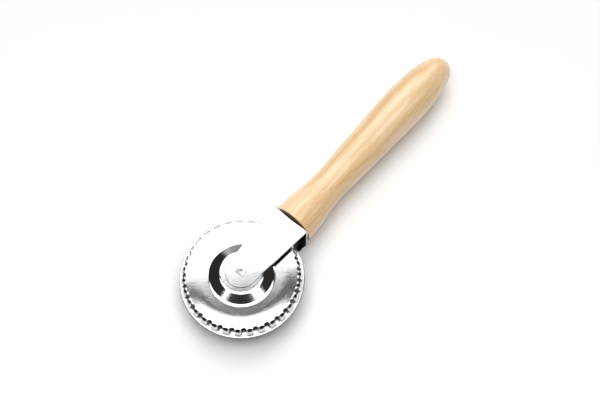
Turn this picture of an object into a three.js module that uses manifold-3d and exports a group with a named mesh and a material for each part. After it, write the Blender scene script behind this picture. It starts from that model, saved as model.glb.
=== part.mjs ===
// Pastry crimping and cutting wheel: a double castellated crimper with a cutting disc between its
// halves, in a bent-strip fork on a turned wooden handle. Millimetres, +Z up, lying flat.
// Origin: on the axle's line, at the plane that the tool lies on. +X runs from the wheel to the handle.

import * as THREE from 'three';
import { mergeVertices } from 'three/addons/utils/BufferGeometryUtils.js';
import Module from 'manifold-3d';

const wasm = await Module();
wasm.setup();

// ---- driving dimensions ----
const discRadius = 28.6;
const discThickness = 0.8;
const sheetThickness = 0.7;
const stripWidth = 19.8;
const stripThickness = 1;
const forkDepth = 17.7;
const webFaceX = 34.4;
const armTipRadius = 7.25;
const handleLength = 118;
const bellyRadius = 10.6;
const axleRadius = 1.5;
const tabCount = 31;
const wheelTurn = THREE.MathUtils.degToRad(3.4);
const bendRadius = 1.3;
const cutMargin = 2;

// ---- clearances ----
const seatGap = 0.03;
const shankGap = 0.12;
const runningGap = 0.1;
const tabFootGap = 0.3;

// ---- worked-out sizes ----
const wheelHeight = bellyRadius;
const halfDepth = forkDepth / 2;
const armInnerZ = halfDepth - stripThickness;
const discTopZ = discThickness / 2;

// crimper pressing, measured on its outer skin above the wheel's middle plane
const hubTopZ = 7.3;
const hubEdgeRadius = 9.1;
const hubTopRound = 3.1;
const hubFootRound = 3.5;
const hubSlope = THREE.MathUtils.degToRad(25);
const faceCrownZ = 5.05;
const faceCrownRadius = 19.5;
const faceCurvature = 0.0052;
const shoulderRadius = 27;
const shoulderBend = 1.7;
const tabFootRadius = 27.6;

// slots that part the tabs
const slotWidth = 2.3;
const slotInnerRadius = 25;

// hub eyelet and spacers
const eyeletWall = 0.8;
const eyeletBore = axleRadius + runningGap;
const eyeletOuter = eyeletBore + eyeletWall;
const eyeletFlangeRadius = 4;
const eyeletFlangeThickness = 0.35;
const spacerBore = eyeletOuter + shankGap;
const spacerOuter = 3.9;

// axle rivet
const rivetPeenRadius = 2.15;
const rivetPeenHeight = 0.4;
const rivetPeenEdge = 0.25;
const rivetDimpleRadius = 1.35;
const rivetDimpleDepth = 0.2;
const rivetHeadRadius = 3.8;
const rivetHeadRound = 0.9;

// handle screw
const screwRadius = 1.75;
const screwLength = 26;
const screwHeadRadius = 3.4;
const screwHeadHeight = 1.6;
const driverSlotWidth = 0.8;
const driverSlotDepth = 0.45;
const threadDepth = 0.35;
const threadRidges = 5;
const threadRunOut = 3;
const tipTaper = 4;
const washerRadius = 4.5;
const washerThickness = 0.6;

// ---- materials ----
const finish = (name, color, roughness, metalness) =>
  new THREE.MeshStandardMaterial({ name, color, roughness, metalness });
const platedSteel = finish('plated_steel', 0xd6d8da, 0.2, 1);
const cutEdgeSteel = finish('disc_steel', 0xc9ccce, 0.28, 1);
const plainSteel = finish('plain_steel', 0xb9bcbf, 0.38, 1);
const paleWood = finish('pale_wood', 0xe6bd86, 0.55, 0);

// ---- helpers ----
const point = (x, y) => new THREE.Vector2(x, y);

// Solid of revolution about +Z from [radius, height] points, rising on its outer side.
function turned(profile, segments, startAngle = 0) {
  const geometry = new THREE.LatheGeometry(profile, segments, startAngle);
  geometry.rotateX(Math.PI / 2);
  return geometry;
}

// The same, turned about +X.
function turnedAlongX(profile, segments) {
  const geometry = turned(profile, segments);
  geometry.rotateY(Math.PI / 2);
  return geometry;
}

// Ring of rectangular section, closed on itself.
function ring(inner, outer, bottom, top, segments) {
  const section = [[inner, bottom], [outer, bottom], [outer, top], [inner, top], [inner, bottom]];
  return turned(section.map(([r, z]) => point(r, z)), segments);
}

function prism(shape, bottom, height, curveSegments) {
  const geometry = new THREE.ExtrudeGeometry(shape, { depth: height, bevelEnabled: false, curveSegments });
  geometry.translate(0, 0, bottom);
  return geometry;
}

function toSolid(geometry) {
  const bare = geometry.clone();
  bare.deleteAttribute('normal');
  bare.deleteAttribute('uv');
  const merged = mergeVertices(bare, 1e-5);
  return new wasm.Manifold(new wasm.Mesh({
    numProp: 3,
    vertProperties: new Float32Array(merged.attributes.position.array),
    triVerts: new Uint32Array(merged.index.array),
  }));
}

function toGeometry(solid) {
  const mesh = solid.getMesh();
  const geometry = new THREE.BufferGeometry();
  geometry.setAttribute('position', new THREE.BufferAttribute(new Float32Array(mesh.vertProperties), 3));
  geometry.setIndex(new THREE.BufferAttribute(new Uint32Array(mesh.triVerts), 1));
  geometry.computeVertexNormals();
  return geometry;
}

// Round cutter along Y, centred on the origin.
const holeCutter = (radius, length) => new THREE.CylinderGeometry(radius, radius, length, 24);

function cut(geometry, cutters) {
  const body = cutters.reduce((rest, cutter) => rest.subtract(toSolid(cutter)), toSolid(geometry));
  return toGeometry(body);
}

function named(name, geometry, material) {
  const mesh = new THREE.Mesh(geometry, material);
  mesh.name = name;
  return mesh;
}

// ---- crimper pressing ----
// The face is a shallow ring-shaped dome between the hub's foot and the shoulder.
const faceHeight = (r) => faceCrownZ - faceCurvature * (r - faceCrownRadius) ** 2;

// Points on a round of the given radius, from one slope to another, both below the level.
function roundPoints(centre, radius, fromSlope, toSlope, steps) {
  const points = [];
  for (let i = 0; i <= steps; i += 1) {
    const slope = THREE.MathUtils.lerp(fromSlope, toSlope, i / steps);
    points.push(point(centre.x + radius * Math.sin(slope), centre.y + radius * Math.cos(slope)));
  }
  return points;
}

// Outer skin from the hub's bore to the tabs' feet: flat hub, convex round, straight slope,
// concave round, domed face, shoulder bend and the tabs' flared wall.
function crimperSkin() {
  const rounds = hubTopRound + hubFootRound;
  const footZ = faceHeight(hubEdgeRadius + 2 * hubFootRound);
  const straightDrop = hubTopZ - footZ - rounds * (1 - Math.cos(hubSlope));
  const footRadius = hubEdgeRadius + rounds * Math.sin(hubSlope) + straightDrop / Math.tan(hubSlope);
  const roundSteps = 2;
  const topCentre = point(hubEdgeRadius, hubTopZ - hubTopRound);
  const footCentre = point(footRadius, footZ + hubFootRound);
  const skin = [
    point(spacerBore, hubTopZ),
    ...roundPoints(topCentre, hubTopRound, 0, hubSlope, roundSteps),
    ...roundPoints(footCentre, -hubFootRound, hubSlope, 0, roundSteps),
    point(faceCrownRadius, faceCrownZ),
  ];
  const bendStart = shoulderRadius - shoulderBend;
  const bendCentreZ = faceHeight(bendStart) - shoulderBend;
  skin.push(...roundPoints(point(bendStart, bendCentreZ), shoulderBend, 0, Math.PI / 2, 3));
  skin.push(point(tabFootRadius, discTopZ + tabFootGap));
  return skin;
}

// Inner skin: the outer one moved in by the sheet's thickness along its normal.
function innerSkin(skin) {
  const last = skin.length - 1;
  const moved = skin.map((here, i) => {
    const run = skin[Math.min(i + 1, last)].clone().sub(skin[Math.max(i - 1, 0)]).normalize();
    return here.clone().addScaledVector(point(run.y, -run.x), sheetThickness);
  });
  moved[0].x = skin[0].x;
  moved[last].y = skin[last].y;
  return moved;
}

// One slot: round inner end on the face, open through the shoulder and the wall.
function slotCutter(angle) {
  const halfWidth = slotWidth / 2;
  const endCentre = slotInnerRadius + halfWidth;
  const openEnd = tabFootRadius + cutMargin;
  const outline = new THREE.Shape();
  outline.moveTo(openEnd, halfWidth);
  outline.lineTo(endCentre, halfWidth);
  outline.absarc(endCentre, 0, halfWidth, Math.PI / 2, Math.PI * 1.5, false);
  outline.lineTo(openEnd, -halfWidth);
  outline.closePath();
  const cutter = prism(outline, 0, hubTopZ, 3);
  cutter.rotateZ(angle);
  return cutter;
}

// Every second flat of the turned pressing is centred on a slot.
function crimper() {
  const skin = crimperSkin();
  const profile = [...innerSkin(skin), ...skin.slice().reverse()];
  profile.push(profile[0].clone());
  const flats = tabCount * 2;
  const slots = [];
  for (let i = 0; i < tabCount; i += 1) {
    slots.push(slotCutter((i * 2 * Math.PI) / tabCount));
  }
  return cut(turned(profile, flats, Math.PI / 2 + Math.PI / flats), slots);
}

// ---- cutting disc ----
function cuttingDisc() {
  const bevelLength = 0.7;
  const bevelStart = discRadius - bevelLength;
  const edgeHalf = 0.12;
  const profile = [
    point(spacerBore, -discTopZ),
    point(bevelStart, -discTopZ),
    point(discRadius, -edgeHalf),
    point(discRadius, edgeHalf),
    point(bevelStart, discTopZ),
    point(spacerBore, discTopZ),
    point(spacerBore, -discTopZ),
  ];
  return turned(profile, 60);
}

// ---- hub ----
function hubEyelet() {
  const flangeUnder = hubTopZ + seatGap;
  const flangeTop = flangeUnder + eyeletFlangeThickness;
  const profile = [
    point(eyeletBore, -flangeTop),
    point(eyeletFlangeRadius, -flangeTop),
    point(eyeletFlangeRadius, -flangeUnder),
    point(eyeletOuter, -flangeUnder),
    point(eyeletOuter, flangeUnder),
    point(eyeletFlangeRadius, flangeUnder),
    point(eyeletFlangeRadius, flangeTop),
    point(eyeletBore, flangeTop),
    point(eyeletBore, -flangeTop),
  ];
  return turned(profile, 24);
}

function spacer() {
  return ring(spacerBore, spacerOuter, discTopZ + seatGap, hubTopZ - sheetThickness - seatGap, 24);
}

// ---- fork ----
// Side view of the bent strip: X across, Z up the page.
function stripSection() {
  const innerBend = bendRadius - stripThickness;
  const bendX = webFaceX - bendRadius;
  const openX = -armTipRadius - cutMargin;
  const section = new THREE.Shape();
  section.moveTo(openX, -halfDepth);
  section.lineTo(bendX, -halfDepth);
  section.absarc(bendX, -halfDepth + bendRadius, bendRadius, -Math.PI / 2, 0, false);
  section.lineTo(webFaceX, halfDepth - bendRadius);
  section.absarc(bendX, halfDepth - bendRadius, bendRadius, 0, Math.PI / 2, false);
  section.lineTo(openX, halfDepth);
  section.lineTo(openX, armInnerZ);
  section.lineTo(bendX, armInnerZ);
  section.absarc(bendX, armInnerZ - innerBend, innerBend, Math.PI / 2, 0, true);
  section.lineTo(webFaceX - stripThickness, -armInnerZ + innerBend);
  section.absarc(bendX, -armInnerZ + innerBend, innerBend, 0, -Math.PI / 2, true);
  section.lineTo(openX, -armInnerZ);
  section.closePath();
  return section;
}

// Plan of the strip: full width at the web, tapering along tangents to the round tip.
function armOutline() {
  const cornerX = webFaceX + cutMargin;
  const cornerY = stripWidth / 2;
  const reach = Math.hypot(webFaceX, cornerY);
  const tangentTurn = Math.atan2(cornerY, webFaceX) + Math.acos(armTipRadius / reach);
  const outline = new THREE.Shape();
  outline.moveTo(cornerX, -cornerY);
  outline.lineTo(cornerX, cornerY);
  outline.lineTo(webFaceX, cornerY);
  outline.absarc(0, 0, armTipRadius, tangentTurn, 2 * Math.PI - tangentTurn, false);
  outline.lineTo(webFaceX, -cornerY);
  outline.closePath();
  return outline;
}

function fork() {
  const strip = prism(stripSection(), -stripWidth, 2 * stripWidth, 4);
  strip.rotateX(Math.PI / 2);
  const plan = prism(armOutline(), -forkDepth, 2 * forkDepth, 14);
  const shaped = toGeometry(toSolid(strip).intersect(toSolid(plan)));
  const axleHole = holeCutter(axleRadius + shankGap, 2 * forkDepth);
  axleHole.rotateX(Math.PI / 2);
  const screwHole = holeCutter(screwRadius + shankGap, 2 * (stripThickness + cutMargin));
  screwHole.rotateZ(Math.PI / 2);
  screwHole.translate(webFaceX, 0, 0);
  return cut(shaped, [axleHole, screwHole]);
}

// ---- axle rivet ----
// Button head below with a flat underside, peened end above with a shallow dimple.
function axleRivet() {
  const headTop = -halfDepth - seatGap;
  const headBottom = -wheelHeight;
  const peenUnder = halfDepth + seatGap;
  const peenTop = peenUnder + rivetPeenHeight;
  const roundSteps = 3;
  const profile = [point(0, headBottom)];
  for (let i = 0; i <= roundSteps; i += 1) {
    const turn = (Math.PI / 2) * (i / roundSteps);
    const out = rivetHeadRadius - rivetHeadRound * (1 - Math.sin(turn));
    profile.push(point(out, headBottom + rivetHeadRound * (1 - Math.cos(turn))));
  }
  profile.push(
    point(rivetHeadRadius, headTop),
    point(axleRadius, headTop),
    point(axleRadius, peenUnder),
    point(rivetPeenRadius, peenUnder),
    point(rivetPeenRadius, peenTop - rivetPeenEdge),
    point(rivetPeenRadius - rivetPeenEdge, peenTop),
    point(rivetDimpleRadius, peenTop),
    point(rivetDimpleRadius / 2, peenTop - rivetDimpleDepth),
    point(0, peenTop - rivetDimpleDepth),
  );
  return turned(profile, 24);
}

// ---- handle screw and washer ----
function handleScrew() {
  const seat = webFaceX - stripThickness - washerThickness - 2 * seatGap;
  const headBack = seat - screwHeadHeight;
  const threadStart = webFaceX + threadRunOut;
  const tip = webFaceX + screwLength;
  const headSteps = 4;
  const profile = [];
  for (let i = 0; i <= headSteps; i += 1) {
    const turn = (Math.PI / 2) * (i / headSteps);
    profile.push(point(screwHeadRadius * Math.sin(turn), seat - screwHeadHeight * Math.cos(turn)));
  }
  profile.push(point(screwRadius, seat));
  const ridgePitch = (tip - tipTaper - threadStart) / threadRidges;
  for (let i = 0; i < threadRidges; i += 1) {
    const at = threadStart + i * ridgePitch;
    profile.push(point(screwRadius, at));
    profile.push(point(screwRadius - threadDepth, at + ridgePitch / 3));
    profile.push(point(screwRadius - threadDepth, at + (2 * ridgePitch) / 3));
  }
  profile.push(point(screwRadius, tip - tipTaper));
  profile.push(point(0, tip));
  const driverSlot = new THREE.BoxGeometry(2 * driverSlotDepth, driverSlotWidth, 3 * screwHeadRadius);
  driverSlot.translate(headBack, 0, 0);
  return cut(turnedAlongX(profile, 16), [driverSlot]);
}

function screwWasher() {
  const back = webFaceX - stripThickness - seatGap - washerThickness;
  const washer = ring(screwRadius + shankGap, washerRadius, back, back + washerThickness, 28);
  washer.rotateY(Math.PI / 2);
  return washer;
}

// ---- handle ----
// Distances from the web's face, and radii there, where the turned profile changes.
const handleStations = [
  [1, 10.5],
  [9.5, 10.1],
  [18.5, 8.8],
  [31, 8.3],
  [45, 9.05],
  [64, 9.85],
  [76, 10.35],
  [85, bellyRadius],
  [94, 10.35],
  [101, 9.65],
  [107, 8.55],
];

function handle() {
  const faceStart = webFaceX + shankGap;
  const faceRadius = handleStations[0][1];
  const edgeRound = 0.6;
  const pilotRadius = screwRadius + shankGap;
  const pilotTip = 2;
  const pilotEnd = webFaceX + screwLength + pilotTip / 2;
  const noseLength = 11;
  const noseRadius = 8.2;
  const noseStart = 0.36;
  const noseSteps = 6;
  const noseCentre = webFaceX + handleLength - noseLength;

  const profile = [
    point(0, pilotEnd),
    point(pilotRadius, pilotEnd - pilotTip),
    point(pilotRadius, faceStart),
    point(faceRadius - edgeRound, faceStart),
  ];
  const contour = handleStations.map(([along, r]) => point(r, webFaceX + along));
  const nosePoint = (turn) => point(noseRadius * Math.cos(turn), noseCentre + noseLength * Math.sin(turn));
  profile.push(...new THREE.SplineCurve([...contour, nosePoint(noseStart)]).getPoints(20));
  for (let i = 1; i < noseSteps; i += 1) {
    profile.push(nosePoint(THREE.MathUtils.lerp(noseStart, Math.PI / 2, i / noseSteps)));
  }
  profile.push(point(0, noseCentre + noseLength));
  return turnedAlongX(profile, 32);
}

// ---- assembly ----
function wheel() {
  const group = new THREE.Group();
  group.rotation.z = wheelTurn;
  const lowerHalf = new THREE.Group();
  lowerHalf.rotation.x = Math.PI;
  lowerHalf.add(named('lower_crimper', crimper(), platedSteel));
  lowerHalf.add(named('lower_spacer', spacer(), plainSteel));
  group.add(named('upper_crimper', crimper(), platedSteel));
  group.add(named('upper_spacer', spacer(), plainSteel));
  group.add(named('cutting_disc', cuttingDisc(), cutEdgeSteel));
  group.add(named('hub_eyelet', hubEyelet(), plainSteel));
  group.add(lowerHalf);
  return group;
}

const pastryWheel = new THREE.Group();
pastryWheel.position.z = wheelHeight;
pastryWheel.add(named('handle', handle(), paleWood));
pastryWheel.add(named('fork', fork(), platedSteel));
pastryWheel.add(named('axle_rivet', axleRivet(), plainSteel));
pastryWheel.add(named('handle_screw', handleScrew(), plainSteel));
pastryWheel.add(named('screw_washer', screwWasher(), plainSteel));
pastryWheel.add(wheel());

export default pastryWheel;
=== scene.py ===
# Looks for the pastry crimping and cutting wheel: fine pressed-steel crimpers, a bent-strip fork,
# a turned beech handle and a soft-box studio. Metres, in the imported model's own frame.
import math

import bpy
from mathutils import Matrix, Quaternion, Vector


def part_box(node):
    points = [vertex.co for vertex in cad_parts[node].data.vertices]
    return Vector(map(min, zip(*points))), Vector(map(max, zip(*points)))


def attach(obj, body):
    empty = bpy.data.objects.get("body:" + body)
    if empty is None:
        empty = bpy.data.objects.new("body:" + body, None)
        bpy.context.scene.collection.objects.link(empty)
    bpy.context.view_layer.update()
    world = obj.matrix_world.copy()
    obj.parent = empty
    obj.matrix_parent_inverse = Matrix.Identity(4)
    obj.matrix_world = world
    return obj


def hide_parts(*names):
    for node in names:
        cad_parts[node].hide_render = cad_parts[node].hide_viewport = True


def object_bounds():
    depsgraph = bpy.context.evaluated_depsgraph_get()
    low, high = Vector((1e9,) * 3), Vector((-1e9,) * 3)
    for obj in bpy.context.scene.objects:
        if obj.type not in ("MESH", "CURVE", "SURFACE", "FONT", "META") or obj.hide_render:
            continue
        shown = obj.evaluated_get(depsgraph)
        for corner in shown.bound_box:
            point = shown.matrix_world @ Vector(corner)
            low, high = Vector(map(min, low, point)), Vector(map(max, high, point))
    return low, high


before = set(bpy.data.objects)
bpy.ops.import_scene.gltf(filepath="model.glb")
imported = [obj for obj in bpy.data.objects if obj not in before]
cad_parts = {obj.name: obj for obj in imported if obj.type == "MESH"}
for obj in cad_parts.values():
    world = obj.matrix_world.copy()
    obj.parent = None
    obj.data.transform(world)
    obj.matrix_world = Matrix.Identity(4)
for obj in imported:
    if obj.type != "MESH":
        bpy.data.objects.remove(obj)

cad_lo, cad_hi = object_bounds()

MM = 0.001
FULL_TURN = 2 * math.pi

# ---- sizes read from the frame ----
disc_lo, disc_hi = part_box("cutting_disc")
crimp_lo, crimp_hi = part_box("upper_crimper")
fork_lo, fork_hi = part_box("fork")
rivet_lo, rivet_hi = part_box("axle_rivet")
screw_lo, screw_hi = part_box("handle_screw")
washer_lo, washer_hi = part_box("screw_washer")
handle_lo, handle_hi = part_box("handle")

AXLE_Z = (disc_lo.z + disc_hi.z) / 2
DISC_RADIUS = (disc_hi.x - disc_lo.x) / 2
DISC_TOP = disc_hi.z - AXLE_Z
HUB_TOP = crimp_hi.z - AXLE_Z
TAB_FOOT_Z = crimp_lo.z - AXLE_Z
TAB_FOOT_RADIUS = (crimp_hi.x - crimp_lo.x) / 2
FORK_HALF_DEPTH = fork_hi.z - AXLE_Z
FORK_HALF_WIDTH = fork_hi.y
WEB_FACE_X = fork_hi.x
ARM_TIP_RADIUS = -fork_lo.x
RIVET_HEAD_RADIUS = rivet_hi.y
PEEN_TOP = rivet_hi.z - AXLE_Z
WASHER_RADIUS = washer_hi.y
WASHER_THICKNESS = washer_hi.x - washer_lo.x
SCREW_HEAD_RADIUS = screw_hi.y
HANDLE_LENGTH = handle_hi.x - WEB_FACE_X
BELLY_RADIUS = handle_hi.z - AXLE_Z

# ---- sizes of details, the same as the CAD model's ----
SEAT_GAP = 0.03 * MM
SHANK_GAP = 0.12 * MM
SHEET = 0.7 * MM
STRIP = WEB_FACE_X - washer_hi.x - SEAT_GAP
BEND_RADIUS = 1.3 * MM
AXLE_RADIUS = 1.5 * MM
SPACER_BORE = 2.52 * MM
SCREW_RADIUS = 1.75 * MM
TAB_COUNT = 31
WHEEL_TURN = math.radians(3.4)
SLOT_INNER_RADIUS = 25 * MM
HUB_EDGE_RADIUS = 9.1 * MM
HUB_TOP_ROUND = 3.1 * MM
HUB_FOOT_ROUND = 3.5 * MM
HUB_SLOPE = math.radians(25)

# ---- the pressing's face and rim, finer than the CAD model's and a little different from it ----
SLOT_HALF_WIDTH = 1.3 * MM
FACE_FOOT = (14.84 * MM, 5 * MM)
FACE_CROWN = (20.4 * MM, 5 * MM)
FACE_ROUND = 80 * MM
FACET_END_RADIUS = 26.95 * MM
FACET_START_Z = 4.68 * MM
FACET_ROUND = 0.35 * MM
FACET_WIDTH = 0.6 * MM
FACET_DROP = 0.45 * MM
PRESSED_FACET_WIDTH = 1.3 * MM
PRESSED_FACET_DROP = 1.1 * MM
PRESSED_EDGE = 0.45
FOOT_ARCH = 0.95 * MM
FOOT_ARCH_EDGE = 0.3


# ---- outlines ----
def filleted(corners, steps):
    """Points along a path of (a, b) or (a, b, radius) corners; a corner with a radius is rounded."""
    points = [Vector(corners[0][:2])]
    for before, here, after in zip(corners, corners[1:], corners[2:]):
        corner = Vector(here[:2])
        if len(here) < 3:
            points.append(corner)
            continue
        back = (Vector(before[:2]) - corner).normalized()
        on = (Vector(after[:2]) - corner).normalized()
        half = back.angle(on) / 2
        centre = corner + (back + on).normalized() * here[2] / math.sin(half)
        spoke = corner + back * here[2] / math.tan(half) - centre
        turn = math.copysign(math.pi - 2 * half, back.y * on.x - back.x * on.y)
        for step in range(steps + 1):
            points.append(centre + Matrix.Rotation(turn * step / steps, 2) @ spoke)
    points.append(Vector(corners[-1][:2]))
    return points


def lengths_along(points):
    """Distance of each point from the first, along the path."""
    total = [0.0]
    for a, b in zip(points, points[1:]):
        total.append(total[-1] + (b - a).length)
    return total


def point_along(points, fraction):
    """The point at that fraction of the path's length."""
    total = lengths_along(points)
    wanted = fraction * total[-1]
    for a, b, start, end in zip(points, points[1:], total, total[1:]):
        if wanted <= end:
            return a.lerp(b, (wanted - start) / (end - start))
    return points[-1].copy()


def smooth_curve(stations, samples):
    """Catmull-Rom curve through the stations."""
    padded = [stations[0], *stations, stations[-1]]
    points = []
    for p0, p1, p2, p3 in zip(padded, padded[1:], padded[2:], padded[3:]):
        for step in range(samples):
            t = step / samples
            second = (2 * p0 - 5 * p1 + 4 * p2 - p3) * t**2
            third = (3 * p1 - p0 - 3 * p2 + p3) * t**3
            ahead = (p2 - p0) * t + second + third
            points.append(p1 + ahead / 2)
    return [*points, stations[-1]]


# ---- mesh building ----
def new_piece(name, verts, faces, material, body, nodes):
    mesh = bpy.data.meshes.new(name)
    mesh.from_pydata([tuple(v) for v in verts], [], faces)
    mesh.validate()
    mesh.shade_smooth()
    mesh.materials.append(material)
    obj = bpy.data.objects.new(name, mesh)
    bpy.context.collection.objects.link(obj)
    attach(obj, body)
    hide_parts(*nodes)
    return obj


def lathe(profile, segments):
    """Vertices and faces of (radius, height) points turned about +Z; points on the axis are single."""
    verts, rings, faces = [], [], []
    for radius, height in profile:
        if radius < 1e-7:
            rings.append([len(verts)] * segments)
            verts.append(Vector((0, 0, height)))
            continue
        rings.append([len(verts) + i for i in range(segments)])
        for i in range(segments):
            turn = FULL_TURN * i / segments
            verts.append(Vector((radius * math.cos(turn), radius * math.sin(turn), height)))
    for low, high in zip(rings, rings[1:]):
        for i in range(segments):
            j = (i + 1) % segments
            corners = [low[i], low[j], high[j], high[i]]
            faces.append(list(dict.fromkeys(corners)))
    return verts, faces


def closed_lathe(profile, segments):
    """A lathe whose profile closes on itself, such as a ring."""
    verts, faces = lathe(profile, segments)
    last = (len(profile) - 1) * segments
    for i in range(segments):
        j = (i + 1) % segments
        faces.append([last + i, last + j, j, i])
    return verts, faces


def turned_z(verts, lift=0.0, turn=0.0, flip=False):
    """Places vertices turned about +Z on the wheel's axle."""
    place = Matrix.Translation((0, 0, AXLE_Z)) @ Matrix.Rotation(turn, 4, "Z")
    if flip:
        place = place @ Matrix.Rotation(math.pi, 4, "X")
    return [place @ (v + Vector((0, 0, lift))) for v in verts]


def turned_x(verts):
    """Places vertices turned about +Z on the handle's axis, with their height along +X."""
    place = Matrix.Translation((0, 0, AXLE_Z)) @ Matrix.Rotation(math.pi / 2, 4, "Y")
    return [place @ v for v in verts]


def sharpen(obj, angle):
    obj.data.set_sharp_from_angle(angle=math.radians(angle))


def soften_edges(obj, width, segments=2, angle=40):
    """Rounds the sheared edges and keeps the flats flat in shading."""
    bevel = obj.modifiers.new("edge_round", "BEVEL")
    bevel.width = width
    bevel.segments = segments
    bevel.limit_method = "ANGLE"
    bevel.angle_limit = math.radians(angle)
    # Known fault: unclamped, this leaves short spikes at the corners of the pressings' tabs.
    bevel.use_clamp_overlap = False
    obj.modifiers.new("flat_faces", "WEIGHTED_NORMAL")


def solidify(obj, thickness):
    sheet = obj.modifiers.new("sheet", "SOLIDIFY")
    sheet.thickness = thickness
    sheet.offset = -1
    sheet.use_even_offset = True


def merge_flats(obj):
    """Joins faces that lie in one plane, so that only real edges are rounded."""
    merge = obj.modifiers.new("merge_flats", "DECIMATE")
    merge.decimate_type = "DISSOLVE"
    merge.angle_limit = math.radians(0.5)
    apply_modifiers(obj)


def apply_modifiers(obj):
    graph = bpy.context.evaluated_depsgraph_get()
    mesh = bpy.data.meshes.new_from_object(obj.evaluated_get(graph))
    obj.modifiers.clear()
    obj.data = mesh


def cut(obj, verts, faces):
    """Cuts a closed shape out of a piece."""
    mesh = bpy.data.meshes.new("cutter")
    mesh.from_pydata([tuple(v) for v in verts], [], faces)
    cutter = bpy.data.objects.new("cutter", mesh)
    bpy.context.collection.objects.link(cutter)
    hole = obj.modifiers.new("hole", "BOOLEAN")
    hole.operation = "DIFFERENCE"
    hole.object = cutter
    hole.solver = "EXACT"
    apply_modifiers(obj)
    bpy.data.objects.remove(cutter)


# ---- node materials ----
class Nodes:
    """Short forms for building one material's node tree."""

    def __init__(self, tree):
        self.tree = tree

    def add(self, kind, **settings):
        node = self.tree.nodes.new(kind)
        for key, value in settings.items():
            setattr(node, key, value)
        return node

    def join(self, source, target):
        self.tree.links.new(source, target)

    def math(self, operation, a, b=None, c=None, clamp=False):
        node = self.add("ShaderNodeMath", operation=operation, use_clamp=clamp)
        self._feed(node, (a, b, c))
        return node.outputs[0]

    def vector(self, operation, a, b=None):
        node = self.add("ShaderNodeVectorMath", operation=operation)
        self._feed(node, (a, b))
        return node.outputs["Value" if operation in ("DOT_PRODUCT", "LENGTH") else "Vector"]

    def _feed(self, node, values):
        for socket, value in zip(node.inputs, values):
            if isinstance(value, bpy.types.NodeSocket):
                self.join(value, socket)
            elif value is not None:
                socket.default_value = value

    def millimetres(self, scale=(1, 1, 1)):
        """The piece's own coordinates in millimetres, stretched by scale."""
        place = self.add("ShaderNodeTexCoord").outputs["Object"]
        mapping = self.add("ShaderNodeMapping")
        mapping.inputs["Scale"].default_value = [s / MM for s in scale]
        self.join(place, mapping.inputs["Vector"])
        return mapping.outputs[0]

    def noise(self, vector, scale, detail=2.0, roughness=0.5, distortion=0.0):
        node = self.add("ShaderNodeTexNoise")
        self.join(vector, node.inputs["Vector"])
        node.inputs["Scale"].default_value = scale
        node.inputs["Detail"].default_value = detail
        node.inputs["Roughness"].default_value = roughness
        node.inputs["Distortion"].default_value = distortion
        return node.outputs["Fac"]

    def remap(self, value, low, high, to_low=0.0, to_high=1.0, smooth=True):
        node = self.add("ShaderNodeMapRange")
        node.interpolation_type = "SMOOTHSTEP" if smooth else "LINEAR"
        node.clamp = True
        self._feed(node, (value, low, high, to_low, to_high))
        return node.outputs[0]

    def colours(self, factor, stops):
        """A colour ramp from (position, (r, g, b)) stops."""
        node = self.add("ShaderNodeValToRGB")
        ramp = node.color_ramp
        while len(ramp.elements) < len(stops):
            ramp.elements.new(0.5)
        for element, (position, colour) in zip(ramp.elements, stops):
            element.position = position
            element.color = (*colour, 1)
        self.join(factor, node.inputs[0])
        return node.outputs["Color"]

    def mix(self, factor, a, b, blend="MIX"):
        node = self.add("ShaderNodeMix", data_type="RGBA", blend_type=blend)
        self._feed_named(node, {0: factor, 6: a, 7: b})
        return node.outputs[2]

    def _feed_named(self, node, values):
        for index, value in values.items():
            if isinstance(value, bpy.types.NodeSocket):
                self.join(value, node.inputs[index])
            elif isinstance(value, tuple):
                node.inputs[index].default_value = (*value, 1)
            else:
                node.inputs[index].default_value = value

    def bump(self, height, strength, distance, normal=None):
        node = self.add("ShaderNodeBump")
        node.inputs["Strength"].default_value = strength
        node.inputs["Distance"].default_value = distance
        self.join(height, node.inputs["Height"])
        if normal is not None:
            self.join(normal, node.inputs["Normal"])
        return node.outputs[0]


def new_material(name):
    material = bpy.data.materials.new(name)
    material.use_nodes = True
    shader = material.node_tree.nodes["Principled BSDF"]
    return material, Nodes(material.node_tree), shader


def plated_steel():
    """Bright plate over pressed sheet: near mirror, with a fine pebbled skin."""
    material, n, shader = new_material("plated_steel")
    place = n.millimetres()
    pebble = n.noise(place, 2.1, detail=3, roughness=0.6)
    ripple = n.noise(place, 0.09, detail=1)
    shader.inputs["Metallic"].default_value = 1
    shader.inputs["Base Color"].default_value = (0.62, 0.625, 0.63, 1)
    n.join(n.remap(pebble, 0.35, 0.7, 0.05, 0.1), shader.inputs["Roughness"])
    skin = n.bump(pebble, 0.5, 0.026 * MM)
    n.join(n.bump(ripple, 0.5, 0.03 * MM, skin), shader.inputs["Normal"])
    return material


def disc_steel():
    """Rolled steel ground at the edge: faint lines round the axle."""
    material, n, shader = new_material("disc_steel")
    place = n.millimetres()
    flat = n.add("ShaderNodeSeparateXYZ")
    n.join(place, flat.inputs[0])
    squares = n.math("ADD", n.math("MULTIPLY", flat.outputs[0], flat.outputs[0]),
                     n.math("MULTIPLY", flat.outputs[1], flat.outputs[1]))
    radius = n.math("SQRT", squares)
    lines = n.add("ShaderNodeTexNoise", noise_dimensions="1D")
    lines.inputs["Scale"].default_value = 9
    lines.inputs["Detail"].default_value = 3
    n.join(radius, lines.inputs["W"])
    shader.inputs["Metallic"].default_value = 1
    shader.inputs["Base Color"].default_value = (0.66, 0.665, 0.67, 1)
    n.join(n.remap(lines.outputs["Fac"], 0.3, 0.7, 0.14, 0.26), shader.inputs["Roughness"])
    n.join(n.bump(lines.outputs["Fac"], 0.4, 0.01 * MM), shader.inputs["Normal"])
    return material


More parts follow.
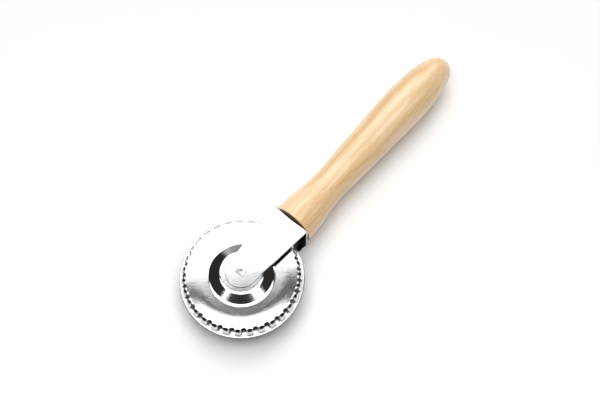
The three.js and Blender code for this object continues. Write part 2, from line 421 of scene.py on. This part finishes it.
def plain_steel():
    """Small turned and headed fasteners: duller, with handling marks."""
    material, n, shader = new_material("plain_steel")
    place = n.millimetres()
    marks = n.noise(place, 2.2, detail=4, roughness=0.65)
    shader.inputs["Metallic"].default_value = 1
    shader.inputs["Base Color"].default_value = (0.6, 0.605, 0.61, 1)
    n.join(n.remap(marks, 0.3, 0.7, 0.16, 0.34), shader.inputs["Roughness"])
    n.join(n.bump(marks, 0.45, 0.02 * MM), shader.inputs["Normal"])
    return material


def pale_beech():
    """Thinly varnished pale wood, grain along the handle."""
    material, n, shader = new_material("pale_beech")
    grain = n.noise(n.millimetres((0.035, 0.9, 0.9)), 1.6, detail=4, roughness=0.6)
    figure = n.noise(n.millimetres((0.02, 0.22, 0.22)), 1.0, detail=2, distortion=0.8)
    tone = n.mix(0.5, n.colours(grain, [(0.3, (0.74, 0.48, 0.22)), (0.66, (0.89, 0.65, 0.39))]),
                 n.colours(figure, [(0.36, (0.72, 0.44, 0.18)), (0.62, (0.9, 0.68, 0.45))]))
    fleck = n.noise(n.millimetres((0.22, 1.5, 1.5)), 1.3, detail=1)
    tone = n.mix(n.remap(fleck, 0.66, 0.76, 0, 0.4), tone, (0.42, 0.21, 0.08))
    along = n.add("ShaderNodeSeparateXYZ")
    n.join(n.millimetres(), along.inputs[0])
    # Painted shade: the last half millimetre of the handle's front face, in the gap against the fork's web,
    # is coloured dark brown to stand for the shade there.
    front = handle_lo.x / MM
    painted_front_shade = n.remap(along.outputs[0], front + 0.2, front + 0.7, 1, 0)
    tone = n.mix(painted_front_shade, tone, (0.13, 0.06, 0.025))
    n.join(tone, shader.inputs["Base Color"])
    n.join(n.remap(grain, 0.3, 0.7, 0.5, 0.38), shader.inputs["Roughness"])
    shader.inputs["Coat Weight"].default_value = 0.9
    shader.inputs["Coat Roughness"].default_value = 0.2
    n.join(n.bump(grain, 0.35, 0.05 * MM), shader.inputs["Normal"])
    return material


def floor_white():
    material, n, shader = new_material("floor_white")
    grain = n.noise(n.millimetres(), 0.4, detail=2)
    shader.inputs["Base Color"].default_value = (0.9, 0.9, 0.9, 1)
    shader.inputs["Specular IOR Level"].default_value = 0
    n.join(n.remap(grain, 0.2, 0.8, 0.92, 1.0), shader.inputs["Roughness"])
    return material


# ---- crimper pressing ----
def crimper_skin(pressed, arch):
    """Outer skin from bore to foot; both are 0 beside a slot and 1 on the middle of a tab.

    pressed widens the slanted facet at the shoulder, and arch lifts the tab's foot.
    """
    hub_corner = HUB_EDGE_RADIUS + HUB_TOP_ROUND * math.tan(HUB_SLOPE / 2)
    facet_start = FACET_END_RADIUS - FACET_WIDTH - (PRESSED_FACET_WIDTH - FACET_WIDTH) * pressed
    facet_drop = FACET_DROP + (PRESSED_FACET_DROP - FACET_DROP) * pressed
    return filleted([
        (SPACER_BORE, HUB_TOP),
        (hub_corner, HUB_TOP, HUB_TOP_ROUND),
        (*FACE_FOOT, HUB_FOOT_ROUND),
        (*FACE_CROWN, FACE_ROUND),
        (facet_start, FACET_START_Z, FACET_ROUND),
        (FACET_END_RADIUS, FACET_START_Z - facet_drop, FACET_ROUND),
        (TAB_FOOT_RADIUS, TAB_FOOT_Z + FOOT_ARCH * arch),
    ], 8)


def split_at_radius(points, radius):
    """The path's points before that radius, and the rest, both with the point there."""
    for i, (a, b) in enumerate(zip(points, points[1:])):
        if b.x > radius:
            here = a.lerp(b, (radius - a.x) / (b.x - a.x))
            return [*points[:i + 1], here], [here, *points[i + 1:]]
    return points, [points[-1]]


def crimper_sheet():
    """The pressing's outer skin as a grid: whole rings inside the slots, then one strip per tab."""
    columns = 8
    pitch = FULL_TURN / TAB_COUNT
    around = TAB_COUNT * columns
    beside_slot = split_at_radius(crimper_skin(0, 0), SLOT_INNER_RADIUS)
    rings = beside_slot[0]
    edge_path = beside_slot[1]
    edge_length = lengths_along(edge_path)[-1]

    # rows of the tabs: fractions of the path, and the slot's half angle there
    rows = []
    end_steps = 6
    for step in range(1, end_steps + 1):
        turn = (math.pi / 2) * step / end_steps
        ahead = SLOT_INNER_RADIUS + SLOT_HALF_WIDTH * (1 - math.cos(turn))
        aside = SLOT_HALF_WIDTH * math.sin(turn)
        before = split_at_radius(edge_path, math.hypot(ahead, aside))[0]
        rows.append((lengths_along(before)[-1] / edge_length, math.atan2(aside, ahead)))
    side_steps = 18
    first = rows[-1][0]
    for step in range(1, side_steps + 1):
        fraction = first + (1 - first) * step / side_steps
        rows.append((fraction, math.asin(SLOT_HALF_WIDTH / point_along(edge_path, fraction).x)))

    verts, faces = [], []

    def put(radius, height, turn):
        verts.append(Vector((radius * math.cos(turn), radius * math.sin(turn), height)))
        return len(verts) - 1

    # a slot lies at every whole pitch, so a tab's middle is half a pitch on
    grid = [[put(p.x, p.y, pitch * i / columns) for i in range(around)] for p in rings]
    for low, high in zip(grid, grid[1:]):
        for i in range(around):
            j = (i + 1) % around
            faces.append([low[i], high[i], high[j], low[j]])
    for tab in range(TAB_COUNT):
        middle = pitch * (tab + 0.5)
        lean = 1 + 0.02 * math.sin(2.4 * tab) + 0.015 * math.sin(5.1 * tab)
        paths = []
        for column in range(columns + 1):
            from_middle = abs(2 * column / columns - 1)
            pressed = min(1.0, (1 - from_middle) / PRESSED_EDGE) * lean
            arch = min(1.0, (1 - from_middle) / FOOT_ARCH_EDGE)
            paths.append(split_at_radius(crimper_skin(pressed, arch), SLOT_INNER_RADIUS)[1])
        last = [grid[-1][(tab * columns + c) % around] for c in range(columns + 1)]
        for fraction, slot_angle in rows:
            half_angle = pitch / 2 - slot_angle
            row = []
            for column, path in enumerate(paths):
                p = point_along(path, fraction)
                row.append(put(p.x, p.y, middle + half_angle * (2 * column / columns - 1)))
            for c in range(columns):
                faces.append([last[c], row[c], row[c + 1], last[c + 1]])
            last = row
    return verts, faces


def make_crimper(name, flip, material):
    verts, faces = crimper_sheet()
    crimper = new_piece(name, turned_z(verts, turn=WHEEL_TURN, flip=flip), faces,
                        material, "wheel", [name.replace("_pressing", "_crimper")])
    solidify(crimper, SHEET)
    soften_edges(crimper, 0.09 * MM)
    return crimper


# ---- the rest of the wheel ----
def make_disc(material):
    bevel_start = DISC_RADIUS - 0.3 * MM
    edge = 0.12 * MM
    section = filleted([
        (SPACER_BORE, -DISC_TOP),
        (bevel_start, -DISC_TOP, 0.2 * MM),
        (DISC_RADIUS, -edge, 0.06 * MM),
        (DISC_RADIUS, edge, 0.06 * MM),
        (bevel_start, DISC_TOP, 0.2 * MM),
        (SPACER_BORE, DISC_TOP),
    ], 4)
    verts, faces = closed_lathe(section, 240)
    disc = new_piece("crimping_disc", turned_z(verts), faces, material, "wheel",
                     ["cutting_disc"])
    sharpen(disc, 35)
    return disc


# ---- fork ----
def arm_half_width(x):
    """Half the strip's width: round tip, then straight sides along its tangents to the web."""
    reach = math.hypot(WEB_FACE_X, FORK_HALF_WIDTH)
    tangent_turn = math.atan2(FORK_HALF_WIDTH, WEB_FACE_X) + math.acos(ARM_TIP_RADIUS / reach)
    touch = Vector((math.cos(tangent_turn), math.sin(tangent_turn))) * ARM_TIP_RADIUS
    if x < touch.x:
        return math.sqrt(max(ARM_TIP_RADIUS**2 - x**2, 0))
    along = (x - touch.x) / (WEB_FACE_X - touch.x)
    return touch.y + (FORK_HALF_WIDTH - touch.y) * along


def fork_path():
    """Outer side of the strip in side view, from the upper tip round the web to the lower tip."""
    path = filleted([
        (0, FORK_HALF_DEPTH),
        (WEB_FACE_X, FORK_HALF_DEPTH, BEND_RADIUS),
        (WEB_FACE_X, -FORK_HALF_DEPTH, BEND_RADIUS),
        (0, -FORK_HALF_DEPTH),
    ], 10)
    tip_steps = 16
    tip = []
    for step in range(tip_steps):
        turn = (math.pi / 2) * step / tip_steps
        tip.append(-ARM_TIP_RADIUS * math.cos(turn))
    upper = [Vector((x, FORK_HALF_DEPTH)) for x in tip]
    lower = [Vector((x, -FORK_HALF_DEPTH)) for x in reversed(tip)]
    return [*upper, *path, *lower]


def cylinder(radius, start, end, axis):
    """A closed round bar between two places along an axis, as a cutter."""
    verts, faces = lathe([(0, start), (radius, start), (radius, end), (0, end)], 48)
    turn = Matrix.Rotation(math.pi / 2, 4, "Y") if axis == "X" else Matrix.Identity(4)
    place = Matrix.Translation((0, 0, AXLE_Z)) @ turn
    return [place @ v for v in verts], faces


def make_fork(material):
    columns = 12
    verts, faces, rows = [], [], []
    for p in fork_path():
        half = arm_half_width(p.x)
        if half < 1e-6:
            rows.append([len(verts)] * (columns + 1))
            verts.append(Vector((p.x, 0, AXLE_Z + p.y)))
            continue
        rows.append([len(verts) + c for c in range(columns + 1)])
        for c in range(columns + 1):
            verts.append(Vector((p.x, half * (2 * c / columns - 1), AXLE_Z + p.y)))
    for here, after in zip(rows, rows[1:]):
        for c in range(columns):
            corners = [here[c], after[c], after[c + 1], here[c + 1]]
            faces.append(list(dict.fromkeys(corners)))
    fork = new_piece("bent_strip_fork", verts, faces, material, "frame", ["fork"])
    solidify(fork, STRIP)
    apply_modifiers(fork)
    cut(fork, *cylinder(AXLE_RADIUS + SHANK_GAP, -2 * FORK_HALF_DEPTH, 2 * FORK_HALF_DEPTH, "Z"))
    cut(fork, *cylinder(SCREW_RADIUS + SHANK_GAP, WEB_FACE_X - 3 * STRIP, WEB_FACE_X + STRIP, "X"))
    merge_flats(fork)
    soften_edges(fork, 0.22 * MM, segments=3)
    return fork


# ---- rivet, screw and washer ----
def make_rivet(material):
    """Button head below; above, an end peened over with an off-centre dimple and a crescent lip."""
    head_under = -FORK_HALF_DEPTH - SEAT_GAP
    peen_under = FORK_HALF_DEPTH + SEAT_GAP
    peen_radius = 2.15 * MM
    peen_edge = 0.25 * MM
    profile = filleted([
        (0, rivet_lo.z - AXLE_Z),
        (RIVET_HEAD_RADIUS, rivet_lo.z - AXLE_Z, 0.9 * MM),
        (RIVET_HEAD_RADIUS, head_under, 0.1 * MM),
        (AXLE_RADIUS, head_under),
        (AXLE_RADIUS, peen_under),
        (peen_radius, peen_under),
        (peen_radius, PEEN_TOP, peen_edge),
        (0.3 * MM, PEEN_TOP),
    ], 6)
    rings = 12
    flat_radius = peen_radius - peen_edge
    dimple_y = 0.4 * MM
    dimple_depth, dimple_size = 0.75, 0.62
    lip_depth, lip_radius, lip_width, lip_turn = 0.6, 1.45, 0.22, 2.6
    profile = profile[:-1] + [Vector((flat_radius * (1 - k / rings), PEEN_TOP)) for k in range(1, rings + 1)]
    verts, faces = lathe(profile, 64)
    for v in verts:
        out = math.hypot(v.x, v.y)
        if v.z > PEEN_TOP - 0.05 * MM and out < flat_radius:
            aside = math.hypot(v.x, v.y - dimple_y) / MM
            facing = max(0, math.cos(math.atan2(v.y, v.x) - lip_turn))
            lip = math.exp(-((out / MM - lip_radius) / lip_width) ** 2) * facing
            v.z -= MM * (dimple_depth * math.exp(-(aside / dimple_size) ** 2) + lip_depth * lip)
    rivet = new_piece("peened_axle_rivet", turned_z(verts), faces, material, "frame",
                      ["axle_rivet"])
    sharpen(rivet, 50)
    return rivet


def make_screw(material):
    seat = WEB_FACE_X - STRIP - WASHER_THICKNESS - 2 * SEAT_GAP
    head_height = seat - screw_lo.x
    thread_start = WEB_FACE_X + 3 * MM
    tip_start = screw_hi.x - 4 * MM
    ridges = 5
    thread_depth = 0.35 * MM
    profile = []
    for step in range(9):
        turn = (math.pi / 2) * step / 8
        profile.append(Vector((SCREW_HEAD_RADIUS * math.sin(turn), seat - head_height * math.cos(turn))))
    profile.append(Vector((SCREW_RADIUS, seat)))
    pitch = (tip_start - thread_start) / ridges
    for i in range(ridges):
        profile += filleted([
            (SCREW_RADIUS, thread_start + i * pitch),
            (SCREW_RADIUS - thread_depth, thread_start + (i + 0.33) * pitch, 0.3 * MM),
            (SCREW_RADIUS - thread_depth, thread_start + (i + 0.67) * pitch, 0.3 * MM),
            (SCREW_RADIUS, thread_start + (i + 0.95) * pitch),
        ], 3)
    profile += [Vector((SCREW_RADIUS, tip_start)), Vector((0, screw_hi.x))]
    verts, faces = lathe(profile, 48)
    screw = new_piece("slotted_screw", turned_x(verts), faces, material, "frame",
                      ["handle_screw"])
    slot_depth = 0.45 * MM
    slot_half = 0.4 * MM
    corners = [Vector((x, y, z)) for x in (screw_lo.x - slot_depth, screw_lo.x + slot_depth)
               for y in (-slot_half, slot_half)
               for z in (AXLE_Z - 2 * SCREW_HEAD_RADIUS, AXLE_Z + 2 * SCREW_HEAD_RADIUS)]
    box_faces = [[0, 1, 3, 2], [4, 6, 7, 5], [0, 4, 5, 1], [2, 3, 7, 6], [0, 2, 6, 4], [1, 5, 7, 3]]
    cut(screw, corners, box_faces)
    sharpen(screw, 40)
    return screw


def make_washer(material):
    bore = SCREW_RADIUS + SHANK_GAP
    edge = 0.12 * MM
    section = filleted([
        (bore + MM, washer_lo.x),
        (WASHER_RADIUS, washer_lo.x, edge),
        (WASHER_RADIUS, washer_hi.x, edge),
        (bore, washer_hi.x, edge),
        (bore, washer_lo.x, edge),
        (bore + MM, washer_lo.x),
    ], 4)[:-1]
    verts, faces = closed_lathe(section, 72)
    washer = new_piece("flat_washer", turned_x(verts), faces, material, "frame",
                       ["screw_washer"])
    sharpen(washer, 50)
    return washer


# ---- handle ----
def handle_profile():
    """Radius against distance along +X, from the pilot hole's end round the front face to the nose."""
    face_x = handle_lo.x
    pilot_radius = SCREW_RADIUS + SHANK_GAP
    pilot_end = screw_hi.x + MM
    front = filleted([
        (0, pilot_end),
        (pilot_radius, pilot_end - 2 * MM),
        (pilot_radius, face_x),
        (10.5 * MM, face_x, 0.6 * MM),
        (10.5 * MM, face_x + MM),
    ], 5)
    stations = [(1, 10.5), (9.5, 10.1), (18.5, 8.8), (31, 8.3), (45, 9.05), (64, 9.85),
                (76, 10.35), (85, BELLY_RADIUS / MM), (94, 10.35), (101, 9.65), (107, 8.55)]
    nose_length, nose_radius, nose_start = 11 * MM, 8.2 * MM, 0.36
    nose_centre = WEB_FACE_X + HANDLE_LENGTH - nose_length

    def nose(turn):
        return Vector((nose_radius * math.cos(turn), nose_centre + nose_length * math.sin(turn)))

    flank = [Vector((r * MM, WEB_FACE_X + along * MM)) for along, r in stations]
    flank = smooth_curve([*flank, nose(nose_start)], 8)
    nose_steps = 20
    tip = []
    for step in range(1, nose_steps):
        tip.append(nose(nose_start + (math.pi / 2 - nose_start) * step / nose_steps))
    return [*front[:-1], *flank, *tip, Vector((0, WEB_FACE_X + HANDLE_LENGTH))]


def make_handle(material):
    verts, faces = lathe(handle_profile(), 128)
    handle = new_piece("turned_handle", turned_x(verts), faces, material, "frame",
                       ["handle"])
    sharpen(handle, 50)
    return handle


# ---- studio ----
# Level directions of the studio: away from the camera, and to the camera's right.
VIEW_AZIMUTH = math.radians(-49.9)
VIEW_ELEVATION = math.radians(65.3)
AWAY = Vector((-math.sin(VIEW_AZIMUTH), math.cos(VIEW_AZIMUTH), 0))
RIGHT = Vector((AWAY.y, -AWAY.x, 0))


def make_camera():
    camera = bpy.data.objects.new("camera", bpy.data.cameras.new("camera"))
    bpy.context.collection.objects.link(camera)
    camera.data.sensor_width = 36
    camera.data.lens = 60
    aim = Vector((46.9 * MM, 5.5 * MM, AXLE_Z))
    distance = 471.4 * MM
    roll = math.radians(0.57)
    back = Vector((0, 0, 1)) * math.sin(VIEW_ELEVATION) - AWAY * math.cos(VIEW_ELEVATION)
    camera.location = aim + back * distance
    camera.rotation_mode = "QUATERNION"
    upright = (-back).to_track_quat("-Z", "Y")
    camera.rotation_quaternion = upright @ Quaternion((0, 0, 1), roll)
    camera.data.clip_start = 0.01
    bpy.context.scene.camera = camera
    return camera


def make_soft_box():
    """One large overhead soft box, a little towards the camera."""
    height = 1.0
    light = bpy.data.lights.new("soft_box", "AREA")
    light.shape = "RECTANGLE"
    light.size = 1.4 * height
    light.size_y = 0.7 * height
    radiance = 3.2
    light.energy = radiance * math.pi * light.size * light.size_y
    box = bpy.data.objects.new("soft_box", light)
    bpy.context.collection.objects.link(box)
    box.location = -0.107 * height * AWAY + Vector((0, 0, height))
    box.rotation_mode = "QUATERNION"
    box.rotation_quaternion = Matrix((RIGHT, AWAY, Vector((0, 0, 1)))).transposed().to_quaternion()
    box.visible_camera = False
    return box


def make_world():
    """A dark studio with a lit backdrop beyond the tool, and a pale surround for the camera."""
    backdrop_radiance = 3.4
    ceiling_radiance = 0.12
    backdrop_tilt = 0.14
    studio_dark = (0.037, 0.034, 0.032)
    world = bpy.data.worlds.new("studio")
    bpy.context.scene.world = world
    world.use_nodes = True
    n = Nodes(world.node_tree)
    shader = world.node_tree.nodes["Background"]
    direction = n.add("ShaderNodeTexCoord").outputs["Generated"]
    away = n.vector("DOT_PRODUCT", direction, tuple(AWAY))
    right = n.vector("DOT_PRODUCT", direction, tuple(RIGHT))
    height = n.vector("DOT_PRODUCT", direction, (0, 0, 1))
    aside = n.math("ABSOLUTE", right)
    narrow = n.remap(aside, 0.32, 0.5, 1, 0)

    # the backdrop's lower edge slopes down to the left, and its top is in shade
    raised = n.math("SUBTRACT", away, n.math("MULTIPLY", right, backdrop_tilt))
    shade = n.remap(away, 0.66, 0.92, 1, 0.08)
    backdrop = n.math("MULTIPLY", n.math("MULTIPLY", n.remap(raised, 0.348, 0.376), shade), narrow)
    ceiling = n.math("MULTIPLY", n.remap(away, 0.0, 0.15), n.remap(aside, 0.3, 0.5, 1, 0))
    above = n.remap(height, -0.02, 0.0)
    lit = n.math("ADD", n.math("MULTIPLY", backdrop, backdrop_radiance),
                 n.math("MULTIPLY", ceiling, ceiling_radiance))
    lamps = n.mix(1.0, (1, 1, 1), n.math("MULTIPLY", lit, above), "MULTIPLY")
    seen = n.mix(1.0, lamps, studio_dark, "ADD")
    camera_ray = n.add("ShaderNodeLightPath").outputs["Is Camera Ray"]
    n.join(n.mix(camera_ray, seen, (1, 1, 1)), shader.inputs["Color"])
    return world


def make_floor(material):
    reach = 6.0
    corners = [Vector((x, y, cad_lo.z)) for x, y in ((-reach, -reach), (reach, -reach), (reach, reach),
                                                     (-reach, reach))]
    mesh = bpy.data.meshes.new("floor")
    mesh.from_pydata([tuple(c) for c in corners], [], [(0, 1, 2, 3)])
    mesh.materials.append(material)
    floor = bpy.data.objects.new("floor", mesh)
    bpy.context.collection.objects.link(floor)
    return floor


# ---- the scene ----
plated = plated_steel()
ground = disc_steel()
plain = plain_steel()

make_crimper("upper_pressing", False, plated)
make_crimper("lower_pressing", True, plated)
make_disc(ground)
make_fork(plated)
make_rivet(plain)
make_screw(plain)
make_washer(plain)
make_handle(pale_beech())

for node_name in ("hub_eyelet", "upper_spacer", "lower_spacer"):
    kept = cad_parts[node_name]
    kept.data.materials.clear()
    kept.data.materials.append(plain)

make_camera()
make_soft_box()
make_world()
make_floor(floor_white())
bpy.context.scene.view_settings.view_transform = "Standard"
